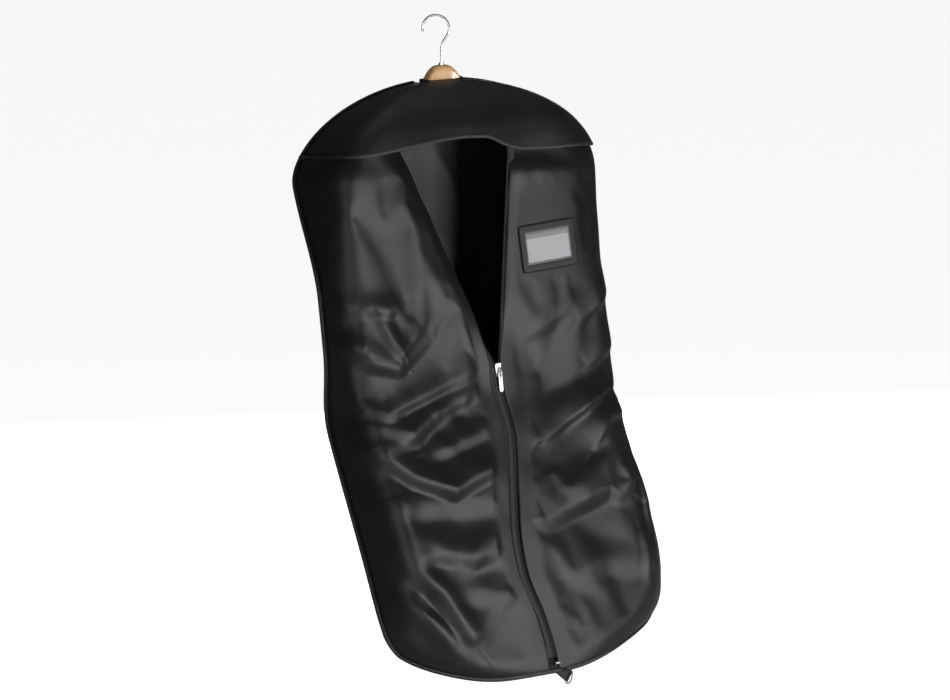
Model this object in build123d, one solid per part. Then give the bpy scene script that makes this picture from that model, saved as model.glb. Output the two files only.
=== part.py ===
"""Garment bag on a wooden hanger, in millimetres.

Row frame: the origin is the crown of the hook, where it rests on a rail. +Z is up and the zip side of the
bag faces -Y. The bag hangs from the hanger and leans forward: LEAN_UPPER above the fold, LEAN_LOWER below it.
Bag coordinates are s (down along the bag from the neck), x (across) and n (forward from the back panel).
"""
from build123d import *
from math import cos, sin, tan, radians, degrees, sqrt
import os

# ---- driving dimensions -------------------------------------------------------------------------------
FOLD_S = 530.0              # line across the bag where it folds in half
LEAN_UPPER, LEAN_LOWER = 8.0, 23.0
DEPTH = 110.0               # crown of the front above the back panel
CLOTH = 2.0                 # thickness of a fabric wall
BINDING_R = 3.0             # bound edge
SEAM_IN = 4.4               # fabric walls stop this far inside the middle of the bound edge
END, LIFT = 0.988, 0.3       # the front ends a little short of the back panel and clear of it
FOLD_GAP = 0.6              # half the gap between the two halves at the fold
FOLD_AXIS_N = -4.5          # fold axis, behind the back panel

HOOK_TURN = 37.0            # how far the hook is swivelled out of the hanger's plane
WIRE_R = 1.9
HOOK_R = 22.0               # centreline radius of the hook's loop
STEM_OFFSET = 9.0           # swivel axis from the crown, in the hook's own plane
HUB_TOP = -80.0             # top of the wooden hub
NECK_Z = -108.0             # where the shoulder seams reach the neck
HANGER_N = 17.0             # swivel axis in front of the back panel, at the neck

PANEL_TOP_S = 80.0          # the front panels end under the shoulder flap
HEM_MID_S, HEM_END_S = 96.0, 118.0
SLIDER_S = 483.0            # the slider at rest, where the two zip edges meet
EDGE_TOP_S = 107.0          # upper ends of the two zip edges when they are closed
LEFT_OPEN, RIGHT_OPEN = 21.6, 9.0               # how far each zip edge is swung open, degrees
LEFT_TILT = 3.4             # the left edge also turns back with the curve of the front
ZIP_N = DEPTH - 3.4         # middle of the zip tape
TAPE_X0, TAPE_X1, TAPE_T = 0.7, 15.0, 0.8
TEETH_W, TEETH_T = 2.6, 2.4
EDGE_START = 14.0           # a zip edge starts this far above the slider's rest
ZIP_GAP = 10.0              # edge of a front panel from the middle of the zip

WINDOW_X, WINDOW_S = 122.0, 288.0
WINDOW_W, WINDOW_H, WINDOW_BORDER = 95.0, 55.0, 11.0
TAB_T, TAB_W = 3.2, 20.0
RING_WIRE, RING_R = 1.25, 12.0

# (s, half width) along the shoulders and sides of the upper half
SEAM = [(6, 57), (20, 130), (36, 196), (56, 246), (80, 275), (106, 290), (160, 299), (340, 298), (FOLD_S, 294)]
# (s, half width, depth) of the shoulder flap
FLAP = [(4, 56, 44), (16, 110, 66), (34, 189, 91), (58, 248, 109), (84, 277, 117), (HEM_END_S, 292, 121)]
# (s, half width, front depth, back depth) of the lower half
LOWER = [(600, 295, 110, 8), (720, 297, 107, 26), (840, 296, 102, 50), (900, 287, 98, 62), (945, 261, 93, 72),
         (980, 212, 89, 77), (1000, 150, 86, 78.5)]
# (s, x) of the closed zip, which wanders below the fold
ZIP_LINE = [(FOLD_S, 0), (612, 2), (708, -20), (800, -35), (850, -34), (928, -14), (1000, -8)]
# (x, forward, top, bottom, thickness) of an arm of the hanger, measured from the neck
ARM = [(0, 0, 28, -44, 20), (14, 0, 26, -44, 20), (28, 1, 15, -45, 20), (41, 1, -3, -47, 20), (70, 4, -15, -52, 22),
       (120, 11, -35, -66, 26), (170, 21, -60, -88, 31), (212, 32, -86, -112, 34), (227, 36, -99, -117, 26)]

HOOK_DIR = Vector(cos(radians(HOOK_TURN)), -sin(radians(HOOK_TURN)), 0)
STEM = HOOK_DIR * STEM_OFFSET
NECK = Vector(STEM.X, STEM.Y + HANGER_N, NECK_Z)
X = Vector(1, 0, 0)


# ---- the bag's own coordinates ------------------------------------------------------------------------
def down(lean):
    """Unit vector down along the bag."""
    return Vector(0, -sin(radians(lean)), -cos(radians(lean)))


def forward(lean):
    """Unit vector out of the front of the bag."""
    return Vector(0, -cos(radians(lean)), sin(radians(lean)))


def at(s, x=0.0, n=0.0):
    """The row-frame point at s, x, n."""
    lean = LEAN_UPPER if s <= FOLD_S else LEAN_LOWER
    base = NECK + down(LEAN_UPPER) * min(s, FOLD_S) + down(LEAN_LOWER) * max(s - FOLD_S, 0)
    return base + X * x + forward(lean) * n


def across(s):
    """The plane across the bag at s, with local x across and local y forward."""
    lean = LEAN_UPPER if s <= FOLD_S else LEAN_LOWER
    return Plane(origin=at(s), x_dir=X, z_dir=down(lean))


def fold_plane(side):
    """The plane halfway between the two leans, just above (side -1) or below (side 1) the fold."""
    lean = (LEAN_UPPER + LEAN_LOWER) / 2
    return Plane(origin=at(FOLD_S) + down(lean) * side * FOLD_GAP, x_dir=X, z_dir=down(lean))


def read_off(table, s, column=1):
    """Linear reading of a table of (s, value, ...)."""
    for low, high in zip(table, table[1:]):
        if s <= high[0]:
            part = max(0.0, (s - low[0]) / (high[0] - low[0]))
            return low[column] + (high[column] - low[column]) * part
    return table[-1][column]


def crown(x, half, depth):
    """Height of a front of that half width and depth above the back panel."""
    return depth * (1 - abs(x / half) ** 4)


def spread(x0, x1, count=9):
    return [x0 + (x1 - x0) * i / (count - 1) for i in range(count)]


def wall(plane, x0, x1, half, depth, lift=0.0, thick=CLOTH, count=9):
    """Cut face of a fabric wall from x0 to x1, its lower side lift above the crown curve."""
    low = [(x, crown(x, half, depth) + lift) for x in spread(x0, x1, count)]
    high = [(x, n + thick) for x, n in low]
    edges = [Spline(*low), Line(low[-1], high[-1]), Spline(*reversed(high)), Line(high[0], low[0])]
    return plane * make_face(edges)


def box_face(plane, x0, x1, n0, n1):
    return plane * make_face(Polyline((x0, n0), (x1, n0), (x1, n1), (x0, n1), close=True))


def tube(points, radius):
    """A round bar along a smooth line."""
    path = Spline(*points)
    start = Plane(origin=path @ 0, z_dir=path % 0)
    return sweep(start * Circle(radius), path)


def block(frame, x0, x1, y0, y1, z0, z1):
    """A box between two corners, in a local frame."""
    size = Box(x1 - x0, y1 - y0, z1 - z0)
    return frame * Pos((x0 + x1) / 2, (y0 + y1) / 2, (z0 + z1) / 2) * size


def save(node, shape):
    export_step(shape, f"parts/{node}.step")


# ---- hook and hanger ----------------------------------------------------------------------------------
def hook_point(h, z):
    return HOOK_DIR * h + Vector(0, 0, z)


def make_hook():
    """Bent wire: a straight stem, a bend back to the loop, and a short straight tip."""
    centre_z = WIRE_R - HOOK_R
    side = hook_point(HOOK_R * cos(radians(20)), centre_z - HOOK_R * sin(radians(20)))
    far = hook_point(-HOOK_R * cos(radians(12)), centre_z - HOOK_R * sin(radians(12)))
    stem = Line(hook_point(STEM_OFFSET, HUB_TOP - 18), hook_point(STEM_OFFSET, HUB_TOP + 24))
    loop = ThreePointArc(side, hook_point(0, WIRE_R), far)
    bend = Spline(stem @ 1, side, tangents=[Vector(0, 0, 1), loop % 0])
    path = Wire([stem, bend, loop])
    hook = sweep(Plane(origin=path @ 0, z_dir=path % 0) * Circle(WIRE_R), path)
    tip = Pos(*tuple(far + (loop % 1) * 0.2)) * Sphere(WIRE_R)
    save("hook_wire", hook + tip)


def make_hanger():
    """Contoured wooden hanger, bored for the hook's stem and its ferrule."""
    def section(x, ahead, top, bottom, thick):
        middle = Vector(STEM.X + x, STEM.Y - ahead, NECK_Z + (top + bottom) / 2)
        plane = Plane(origin=middle, x_dir=Vector(0, 1, 0), z_dir=X)
        return plane * RectangleRounded(thick, top - bottom, min(thick, top - bottom) * 0.42)
    left = [(-x, *row) for x, *row in reversed(ARM[1:])]
    body = loft([section(*row) for row in left + ARM])
    stem = Pos(STEM.X, STEM.Y, HUB_TOP) * Cylinder(WIRE_R + 0.05, 44)
    ferrule = Pos(STEM.X, STEM.Y, HUB_TOP) * Cylinder(4.6, 6)
    save("hanger_body", body - stem - ferrule)
    save("hook_ferrule", ferrule - stem)


# ---- upper half of the bag ----------------------------------------------------------------------------
def zip_edge_x(s, angle):
    """Where an open zip edge lies across the bag at s."""
    return max(0.0, SLIDER_S - s) * tan(radians(angle))


def make_front_upper(node, sign, angle):
    """A front panel from the shoulder flap to the fold, cut back along the open zip edge."""
    faces = []
    for s in (PANEL_TOP_S, 118, 136, 240, 340, SLIDER_S):
        half = read_off(SEAM, s) - (11 if s <= 118 else SEAM_IN)
        inner = sign * (zip_edge_x(s, angle) + ZIP_GAP)
        faces.append(wall(across(s), inner, sign * half * END, half, DEPTH - CLOTH, LIFT))
    half = read_off(SEAM, FOLD_S) - SEAM_IN
    faces.append(wall(fold_plane(-1), sign * ZIP_GAP, sign * half * END, half, DEPTH - CLOTH, LIFT))
    save(node, loft(faces, ruled=True) - upper_binding(sign))


def seam_points(side, inset=0.0):
    """Points along one side of the upper half, moved in from the seam."""
    points = []
    for i, (s, x) in enumerate(SEAM):
        s0, x0 = SEAM[max(i - 1, 0)]
        s1, x1 = SEAM[min(i + 1, len(SEAM) - 1)]
        length = sqrt((s1 - s0) ** 2 + (x1 - x0) ** 2)
        points.append((s + inset * (x1 - x0) / length, side * (x - inset * (s1 - s0) / length)))
    return points


def upper_binding(side):
    """The bound edge along one side of the upper half."""
    return tube([at(min(s, FOLD_S - 0.8), x) for s, x in seam_points(side)], BINDING_R)


def make_back_upper():
    right = seam_points(1, SEAM_IN)
    left = list(reversed(seam_points(-1, SEAM_IN)))
    face = make_face(Polyline(*[at(min(s, FOLD_S - FOLD_GAP), x) for s, x in right + left], close=True))
    back = extrude(face, CLOTH, dir=-forward(LEAN_UPPER))
    save("back_panel_upper", back - upper_binding(1) - upper_binding(-1))


def flap_dome(shrink):
    """The inside or outside of the shoulder flap as a full solid."""
    faces = []
    for s, half, depth in FLAP:
        outer = [(x, 3.1 + crown(x, half - shrink, depth - 3.1 - shrink)) for x in
                 spread(shrink - half, half - shrink, 11)]
        faces.append(across(s) * make_face([Spline(*outer), Line(outer[-1], outer[0])]))
    return loft(faces, ruled=True)


def hem_s(x):
    """The flap's hem rises in a shallow arch towards the middle."""
    return HEM_MID_S + (HEM_END_S - HEM_MID_S) * (x / 292) ** 2


def make_flap():
    shell = flap_dome(0) - flap_dome(CLOTH)
    arch = [at(hem_s(x), x, -10) for x in spread(-310, 310, 15)]
    below = [Vector(310, arch[-1].Y, arch[-1].Z) + down(LEAN_UPPER) * 90,
             Vector(-310, arch[0].Y, arch[0].Z) + down(LEAN_UPPER) * 90]
    face = make_face([Spline(*arch), Polyline(arch[-1], below[0], below[1], arch[0])])
    save("shoulder_flap", shell - extrude(face, 200, dir=forward(LEAN_UPPER)))
    hem = []
    for x in spread(-284, 284, 17):
        s = hem_s(x)
        half, depth = read_off(FLAP, s), read_off(FLAP, s, 2)
        hem.append(at(s + 2.6, x, 3.1 + crown(x, half + 2, depth - 3.1)))
    save("flap_hem_binding", tube(hem, 1.8))


def make_collar():
    """Stiff ring round the neck opening."""
    plane = across(0) * Pos(0, 17, -4)
    ring = extrude(plane * RectangleRounded(106, 38, 15), 8) - extrude(plane * RectangleRounded(98, 31, 12), 8)
    save("collar_guard", ring)


def make_upper_binding():
    for name, side in (("left", -1), ("right", 1)):
        save(f"upper_binding_{name}", upper_binding(side))


# ---- the window for a card ----------------------------------------------------------------------------
def patch(s0, s1, x0, x1, lift, thick):
    """A curved slab that follows the front panel between two levels."""
    half = read_off(SEAM, WINDOW_S) - SEAM_IN
    faces = [wall(across(s), x0, x1, half, DEPTH - CLOTH, LIFT + CLOTH + lift, thick) for s in (s0, s1)]
    return loft(faces, ruled=True)


def make_window():
    s0, s1 = WINDOW_S - WINDOW_H / 2, WINDOW_S + WINDOW_H / 2
    x0, x1 = WINDOW_X - WINDOW_W / 2, WINDOW_X + WINDOW_W / 2
    b = WINDOW_BORDER
    frame = patch(s0 - b, s1 + b, x0 - b, x1 + b, 0.5, 3.2) - patch(s0, s1, x0, x1, -1, 6)
    slot = patch(s0 - b - 1, s1 - 4, x0 + 2, x1 - 2, 0.9, 1.3)
    save("id_window_frame", frame - slot)
    save("id_window_film", patch(s0, s1, x0, x1, 2.6, 0.5))
    save("id_card", patch(s0 + 3, s1 - 5, x0 + 3, x1 - 3, 1.25, 0.6))


# ---- zip above the fold -------------------------------------------------------------------------------
def zip_frame(tilt):
    """Local frame at the slider's rest: x across, y up along the bag, z out of the front."""
    out = forward(LEAN_UPPER) * cos(radians(tilt)) - X * sin(radians(tilt))
    return Plane(origin=at(SLIDER_S, 0, ZIP_N), x_dir=X * cos(radians(tilt)) + forward(LEAN_UPPER)
                 * sin(radians(tilt)), z_dir=out)


def make_zip_edge(name, sign, tilt, angle):
    """One swung-open edge of the zip: tape, coil and top stop."""
    frame = zip_frame(tilt)
    turn = Axis(frame.origin, frame.z_dir)
    top = SLIDER_S - EDGE_TOP_S
    a, b, c = sorted((sign * TAPE_X0, sign * TAPE_X1)), sorted((sign * TAPE_X0, sign * (TAPE_X0 + TEETH_W))), TEETH_T / 2
    tape = block(frame, *a, EDGE_START, top, -TAPE_T / 2, TAPE_T / 2)
    coil = block(frame, *b, EDGE_START, top - 6, -c, c)
    stop = block(frame, *b, top - 5, top - 1, -c, c)
    save(f"{name}_zip_tape", (tape - coil - stop).rotate(turn, -sign * angle))
    save(f"{name}_zip_coil", coil.rotate(turn, -sign * angle))
    save(f"{name}_top_stop", stop.rotate(turn, -sign * angle))


def make_slider():
    frame = zip_frame(0)
    top = block(frame, -7, 7, -11, 11, 1.6, 3.0)
    base = block(frame, -7, 7, -11, 11, -3.6, -2.2)
    post = block(frame, -0.5, 0.5, 7, 11, -2.2, 1.6)
    body = top + base + post
    save("zip_slider", fillet(body.edges().filter_by(Axis(frame.origin, frame.z_dir)).filter_by_position(
        Axis(frame.origin, frame.x_dir), -7.1, -6.9) + body.edges().filter_by(Axis(frame.origin, frame.z_dir))
        .filter_by_position(Axis(frame.origin, frame.x_dir), 6.9, 7.1), 2.5))
    feet = [block(frame, -1, 1, y - 1, y + 1, 3.0, 8.2) for y in (-9, 3)]
    bridge = feet[0] + feet[1] + block(frame, -1, 1, -10, 4, 6.9, 8.9)
    save("slider_bridge", bridge)
    bar = frame * Pos(0, -3, 5.2) * Rot(0, 90, 0) * Cylinder(0.9, 7)
    plate = block(frame, -3.5, 3.5, -36, -3, 4.7, 5.7)
    eye = block(frame, -2, 2, -12, -3.0, 4, 7)
    save("pull_tab", plate - eye + bar)


def make_chain():
    """The closed zip between the slider's rest and the fold."""
    frame = zip_frame(0)
    low = SLIDER_S - FOLD_S + 16
    coil = block(frame, -3.3, 3.3, low, -12.5, -TEETH_T / 2, TEETH_T / 2)
    tape = block(frame, -TAPE_X1, TAPE_X1, low, -12.5, -TAPE_T / 2, TAPE_T / 2)
    save("middle_zip_coil", coil)
    save("middle_zip_tape", tape - coil)


# ---- lower half of the bag ----------------------------------------------------------------------------
def lower_levels():
    """Planes down the lower half, with the seam, depths and zip line at each."""
    levels = [(fold_plane(1), FOLD_S, 294, DEPTH, 0)]
    return levels + [(across(s), s, half, front, back) for s, half, front, back in LOWER]


def inset(s):
    """The seam turns inwards at the bottom corners, so the walls stop further in there."""
    return SEAM_IN if s < 890 else SEAM_IN + 11 * ((s - 890) / 110) ** 2


def make_lower_panels():
    for node, sign in (("lower_left_panel", -1), ("lower_right_panel", 1)):
        faces = []
        for plane, s, half, front, _ in lower_levels():
            edge = half - inset(s)
            inner = read_off(ZIP_LINE, s) + sign * ZIP_GAP
            faces.append(wall(plane, inner, sign * edge * END, edge, front - CLOTH, LIFT))
        save(node, loft(faces, ruled=True))
    faces = []
    for plane, s, half, _, back in lower_levels():
        edge = half - inset(s)
        faces.append(wall(plane, -edge, edge, edge, back, -CLOTH, count=17))
    save("back_panel_lower", loft(faces, ruled=True))


def make_lower_zip():
    def strip(x0, x1, thick):
        faces = []
        for plane, s, _, front, _ in lower_levels():
            middle, n = read_off(ZIP_LINE, s), front - 3.4
            faces.append(box_face(plane, middle + x0, middle + x1, n - thick / 2, n + thick / 2))
        return loft(faces, ruled=True)
    coil = strip(-3.3, 3.3, TEETH_T)
    save("lower_zip_coil", coil)
    save("lower_zip_tape", strip(-TAPE_X1, TAPE_X1, TAPE_T) - coil)
    save("bottom_stop", block(across(LOWER[-1][0]) * Pos(0, LOWER[-1][2] - 3.4, 0), -4, 4, -1.8, 1.8, 0.1, 3.4))


def make_lower_binding():
    sides = [(FOLD_S + 0.8, 294)] + [(s, half) for s, half, _, _ in LOWER]
    for name, side in (("left", -1), ("right", 1)):
        save(f"lower_binding_{name}", tube([at(s, side * x) for s, x in sides], BINDING_R))
    last_s, half = LOWER[-1][0] + 6.6, LOWER[-1][1] - 4
    points = [at(last_s, x, 1 + crown(x, half, LOWER[-1][3])) for x in spread(-half + 1, half - 1, 13)]
    save("bottom_binding", tube(points, BINDING_R))


def make_tab_and_ring():
    """Webbing tab at the bottom of the zip, with a ring hanging in its end loop."""
    n, top = LOWER[-1][3] - 3, LOWER[-1][0] + 10.2
    corners = [(-8, top), (20, top), (28, top + 8), (28 - TAB_W * cos(radians(45)), top + 8 + TAB_W * sin(radians(45)))]
    face = make_face(Polyline(*[at(s, x, n) for x, s in corners], close=True))
    tab = extrude(face, TAB_T / 2, dir=forward(LEAN_LOWER), both=True)
    a, b = at(corners[2][1], corners[2][0], n), at(corners[3][1], corners[3][0], n)
    axis, middle = (b - a).normalized(), (a + b) / 2
    frame = Plane(origin=middle, z_dir=axis)
    loop = frame * Cylinder(RING_WIRE + 1.8, TAB_W)
    bore = frame * Cylinder(RING_WIRE + 0.06, TAB_W + 10)
    save("webbing_tab", tab + loop - bore)
    hang = Vector(0, 0, -1) - axis * Vector(0, 0, -1).dot(axis)
    hang = hang.normalized()
    ends = [middle - axis * RING_R, middle + axis * RING_R]
    arc = ThreePointArc(ends[0], middle + hang * RING_R, ends[1])
    ring = sweep(Plane(origin=arc @ 0, z_dir=arc % 0) * Circle(RING_WIRE), arc)
    ring += frame * Cylinder(RING_WIRE, 2 * RING_R)
    for end in ends:
        ring += Pos(*tuple(end)) * Sphere(RING_WIRE)
    save("d_ring", ring)


os.makedirs("parts", exist_ok=True)
make_hook()
make_hanger()
make_back_upper()
make_front_upper("upper_left_panel", -1, LEFT_OPEN)
make_front_upper("upper_right_panel", 1, RIGHT_OPEN)
make_flap()
make_collar()
make_upper_binding()
make_window()
make_zip_edge("left", -1, LEFT_TILT, LEFT_OPEN)
make_zip_edge("right", 1, 0.0, RIGHT_OPEN)
make_slider()
make_chain()
make_lower_panels()
make_lower_zip()
make_lower_binding()
make_tab_and_ring()
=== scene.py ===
"""Looks of a black garment bag on a wooden hanger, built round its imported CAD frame. Lengths in metres.

The bag is drawn in its own coordinates: s runs down along the bag from the neck, x across it, and n out of
its front from the back panel. place() turns them into the row frame.
"""
import math

import bmesh
import bpy
import numpy as np
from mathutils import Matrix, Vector
from mathutils.noise import noise


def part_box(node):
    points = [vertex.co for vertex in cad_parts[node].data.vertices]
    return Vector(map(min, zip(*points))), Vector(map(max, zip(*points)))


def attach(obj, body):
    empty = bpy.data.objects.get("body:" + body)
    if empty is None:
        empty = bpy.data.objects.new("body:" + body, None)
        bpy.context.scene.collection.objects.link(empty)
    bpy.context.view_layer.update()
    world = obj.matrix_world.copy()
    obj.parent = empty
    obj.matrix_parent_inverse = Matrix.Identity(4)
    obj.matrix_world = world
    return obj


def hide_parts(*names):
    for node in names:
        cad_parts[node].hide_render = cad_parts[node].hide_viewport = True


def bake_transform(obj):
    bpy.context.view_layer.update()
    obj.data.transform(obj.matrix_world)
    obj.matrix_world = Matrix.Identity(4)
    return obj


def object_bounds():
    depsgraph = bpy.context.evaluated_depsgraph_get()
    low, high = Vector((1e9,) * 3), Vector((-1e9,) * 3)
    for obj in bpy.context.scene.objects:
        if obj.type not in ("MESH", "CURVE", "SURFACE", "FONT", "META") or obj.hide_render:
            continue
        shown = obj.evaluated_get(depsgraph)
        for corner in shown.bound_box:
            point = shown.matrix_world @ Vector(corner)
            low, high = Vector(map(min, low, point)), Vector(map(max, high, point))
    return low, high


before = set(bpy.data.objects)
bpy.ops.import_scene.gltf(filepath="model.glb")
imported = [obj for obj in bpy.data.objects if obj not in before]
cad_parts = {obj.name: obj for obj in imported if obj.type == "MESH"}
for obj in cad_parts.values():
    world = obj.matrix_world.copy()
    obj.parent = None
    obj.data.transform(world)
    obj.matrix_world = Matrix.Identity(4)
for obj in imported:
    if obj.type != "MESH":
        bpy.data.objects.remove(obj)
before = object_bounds()

# ---- driving dimensions ----
STEM_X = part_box("zip_slider")[0].x + 0.007  # middle of the bag
NECK_Y, NECK_Z = 0.0116, -0.108  # the shoulder seams at the neck
LENGTH = 1.012
FOLD_S, FOLD_SPAN = 0.530, 0.060  # where the lean changes, and half the length it takes
LEAN_UPPER, LEAN_LOWER = math.radians(8), math.radians(23)
SLIDER_S = 0.483
LEFT_OPEN, RIGHT_OPEN = math.radians(21.6), math.radians(9.0)
DEPTH = 0.110  # of the filled bag
SEAM_X, SHOULDER_S = 0.2945, 0.150  # side seam; its shoulder curve ends here
CREST_LEFT, CREST_RIGHT = 17.0, 8.0  # how square the front is towards each side
CORNER_S = 0.880  # the bottom corners start to round here
CLOTH = 0.0012  # thickness
CLOSED_LEFT, CLOSED_RIGHT = 0.019, 0.0055  # edges of the front panels from the middle of the closed zip
ZIP_DEPTH = 0.0034  # of the slider's middle below the front
WINDOW_X, WINDOW_S, WINDOW_W, WINDOW_H, BORDER = 0.122, 0.288, 0.095, 0.055, 0.011
WINDOW_TURN = math.radians(3)
CARD_BAND = WINDOW_S - WINDOW_H / 2 + 0.012  # the card is darker above this
CARD_WAY_S = 0.262  # middle of the zone that the card lies and slides in


# ---- the bag's coordinates ----
def smooth(t):
    t = np.clip(t, 0, 1)
    return t * t * (3 - 2 * t)


SPINE_S = np.linspace(-0.05, 1.1, 1151)
SPINE_LEAN = LEAN_UPPER + (LEAN_LOWER - LEAN_UPPER) * smooth((SPINE_S - FOLD_S + FOLD_SPAN) / (2 * FOLD_SPAN))
SPINE_Y = np.cumsum(-np.sin(SPINE_LEAN)) * (SPINE_S[1] - SPINE_S[0])
SPINE_Z = np.cumsum(-np.cos(SPINE_LEAN)) * (SPINE_S[1] - SPINE_S[0])
SPINE_Y += NECK_Y - np.interp(0, SPINE_S, SPINE_Y)
SPINE_Z += NECK_Z - np.interp(0, SPINE_S, SPINE_Z)


def place(x, s, n):
    """Row-frame points, as rows, of bag coordinates."""
    x, s, n = hang(x, s, n)
    lean = np.interp(s, SPINE_S, SPINE_LEAN)
    y = np.interp(s, SPINE_S, SPINE_Y) - np.cos(lean) * n
    z = np.interp(s, SPINE_S, SPINE_Z) + np.sin(lean) * n
    return np.stack([STEM_X + x, y, z], -1)


def outward(s):
    """The direction out of the front at s."""
    lean = np.interp(s, SPINE_S, SPINE_LEAN)
    return np.stack([0 * s, -np.cos(lean), np.sin(lean)], -1)


def half_width(s):
    """Side seam from the middle; the bottom corners are cut by bottom_s()."""
    shoulder = 0.300 * np.sqrt(np.clip(1 - np.clip(1 - s / SHOULDER_S, 0, 1) ** 1.7, 0.02, 1))
    body = np.interp(s, [SHOULDER_S, 0.53, 0.84, 1.02], [0.300, SEAM_X, 0.296, 0.290])
    return np.where(s < SHOULDER_S, shoulder, body)


def bottom_s(x):
    """The bottom seam, round at its corners."""
    return CORNER_S + (LENGTH - CORNER_S) * (1 - np.clip(np.abs(x) / 0.294, 0, 1) ** 2.2) ** (1 / 2.4)


def through(points):
    """A smooth curve through (place, value) points, as a function."""
    at, value = np.array(points, float).T
    slope = np.gradient(value, at)

    def read(t):
        t = np.clip(t, at[0], at[-1])
        i = np.clip(np.searchsorted(at, t) - 1, 0, len(at) - 2)
        width = at[i + 1] - at[i]
        q = (t - at[i]) / width
        return (value[i] * (1 + 2 * q) * (1 - q) ** 2 + value[i + 1] * q * q * (3 - 2 * q)
                + width * (slope[i] * q * (1 - q) ** 2 - slope[i + 1] * q * q * (1 - q)))
    return read


# the flap's hem, as (x, s): it rises towards the middle and hangs lower on the right
hem_s = through([(-0.295, 0.103), (-0.246, 0.110), (-0.200, 0.108), (-0.147, 0.102), (-0.084, 0.096),
                 (-0.020, 0.095), (0.015, 0.099), (0.040, 0.111), (0.070, 0.120), (0.120, 0.124),
                 (0.200, 0.125), (0.295, 0.129)])


# the closed zip below the slider, as (s, x): it wanders a little, as the cloth under it does
zip_x = through([(SLIDER_S, 0), (0.550, 0.002), (0.612, 0.002), (0.708, -0.022), (0.790, -0.040),
                 (0.845, -0.041), (0.928, -0.021), (0.985, -0.015), (LENGTH, -0.014)])


def drift(s):
    """The lower half hangs a little to the right."""
    return 0.013 * smooth((s - 0.50) / 0.36)


def hang(x, s, n):
    """The filled bag's own slouch: its left seam is drawn forward, and its bottom right corner up."""
    drawn = smooth((-x - 0.10) / 0.19) * smooth((s - 0.12) / 0.22) * (1 - 0.45 * smooth((s - 0.42) / 0.14))
    low = smooth((s - 0.76) / 0.22)
    lifted = 0.022 * smooth(x / 0.20) - 0.006 * np.exp(-((x + 0.14) / 0.07) ** 2)
    return x - 0.005 * drawn + drift(s), s - lifted * low, n + 0.050 * drawn * (1 - np.clip(n / DEPTH, 0, 1))


def seam_n(x):
    """The bottom seam bows forward in its middle."""
    return 0.080 * (1 - np.clip(np.abs(x) / 0.275, 0, 1) ** 2.6)


def crown(x, half, depth):
    """A flat-topped arch across the bag, down to nothing at half its width."""
    power = np.where(x < 0, CREST_LEFT, CREST_RIGHT)
    return depth * (1 - np.clip(np.abs(x) / half, 0, 1) ** power)


def front_n(x, s):
    """Height of the front above the back panel, closing on to the seam at the bottom."""
    depth = DEPTH - 0.024 * smooth((s - 0.62) / 0.40)
    n = crown(x, half_width(s), depth)
    rise = np.clip((bottom_s(x) - s) / 0.075, 0, 1)
    rise = np.sqrt(np.clip(1 - (1 - rise) ** 2, 0, 1))
    return seam_n(x) + (np.maximum(n, 0) - seam_n(x)) * rise


def back_n(x, s):
    bow = 0.085 * smooth((s - FOLD_S) / 0.56) * (1 - np.clip(np.abs(x) / half_width(s), 0, 1) ** 3)
    rise = np.clip((bottom_s(x) - s) / 0.10, 0, 1)
    return seam_n(x) + (bow - seam_n(x)) * rise


# the flap's height, as (s, n), from the neck to the hem
flap_depth = through([(0, 0.026), (0.008, 0.046), (0.020, 0.066), (0.040, 0.090), (0.065, 0.107),
                      (0.095, 0.116), (0.130, 0.121)])


def flap_n(x, s):
    return crown(x, half_width(s) + 0.001, flap_depth(s))


# ---- mesh helpers ----
def make_object(name, points, faces, uv=None):
    mesh = bpy.data.meshes.new(name)
    mesh.from_pydata([tuple(p) for p in points], [], faces)
    mesh.validate()
    if uv is not None:
        layer = mesh.uv_layers.new(name="cloth")
        for loop in mesh.loops:
            layer.data[loop.index].uv = uv[loop.vertex_index]
    mesh.polygons.foreach_set("use_smooth", [True] * len(mesh.polygons))
    obj = bpy.data.objects.new(name, mesh)
    bpy.context.collection.objects.link(obj)
    return obj


def grid_faces(rows, columns, flip=False, closed=False):
    faces = []
    for i in range(rows - 1):
        for j in range(columns if closed else columns - 1):
            k = (j + 1) % columns
            face = (i * columns + j, i * columns + k, (i + 1) * columns + k, (i + 1) * columns + j)
            faces.append(face[::-1] if flip else face)
    return faces


def apply_all(obj):
    """Turns the object's modifiers into mesh."""
    graph = bpy.context.evaluated_depsgraph_get()
    graph.update()
    mesh = bpy.data.meshes.new_from_object(obj.evaluated_get(graph))
    obj.modifiers.clear()
    old, obj.data = obj.data, mesh
    bpy.data.meshes.remove(old)
    return obj


def thicken(obj, thickness, offset=-1.0):
    solid = obj.modifiers.new("thickness", "SOLIDIFY")
    solid.thickness = thickness
    solid.offset = offset
    solid.use_quality_normals = True
    return apply_all(obj)


def refine(obj):
    obj.modifiers.new("refine", "SUBSURF").levels = 1
    return apply_all(obj)


def paint(obj, material):
    obj.data.materials.clear()
    obj.data.materials.append(material)
    return obj


def passed(path):
    """The way along a path up to each of its points."""
    return np.concatenate([[0], np.cumsum(np.linalg.norm(np.diff(path, axis=0), axis=1))])


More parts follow.
